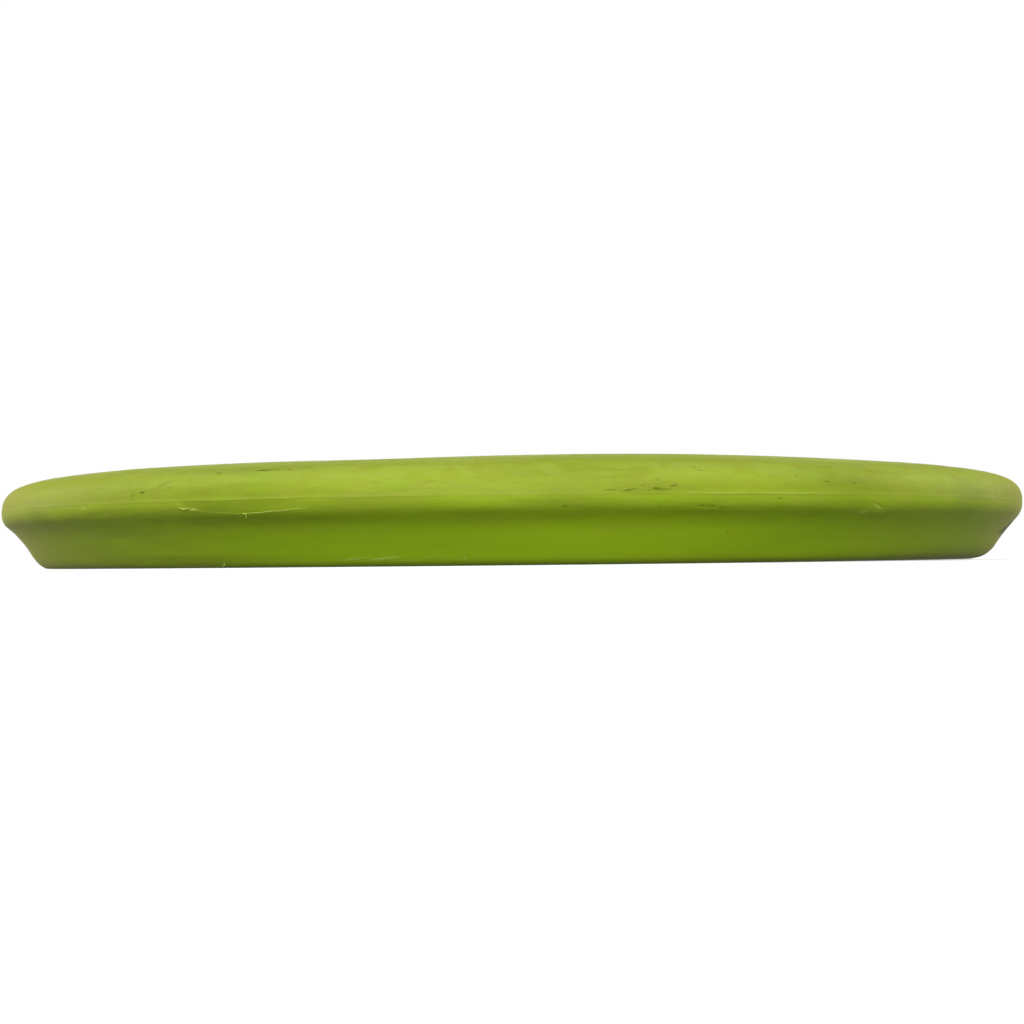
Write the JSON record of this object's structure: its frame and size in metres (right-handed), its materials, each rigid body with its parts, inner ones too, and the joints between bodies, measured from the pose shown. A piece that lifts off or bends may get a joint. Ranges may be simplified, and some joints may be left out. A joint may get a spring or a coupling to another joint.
{
  "type": "flying disc",
  "caption": "Golf-type flying disc in one moulding: shallow domed flight plate running into a deep blunt rim, open underneath, with a narrow foot ring to rest on.",
  "frame": {"origin": "on the disc's axis, in the plane of the foot that it rests on", "axes": "+Z along the axis, up through the dome; +X and +Y are alike, because the disc is round"},
  "size_m": [0.212, 0.212, 0.0205],
  "materials": {
    "disc_plastic": "worn satin lime green moulded plastic"
  },
  "bodies": {
    "root": {"disc": "disc_plastic"}
  },
  "joints": []
}
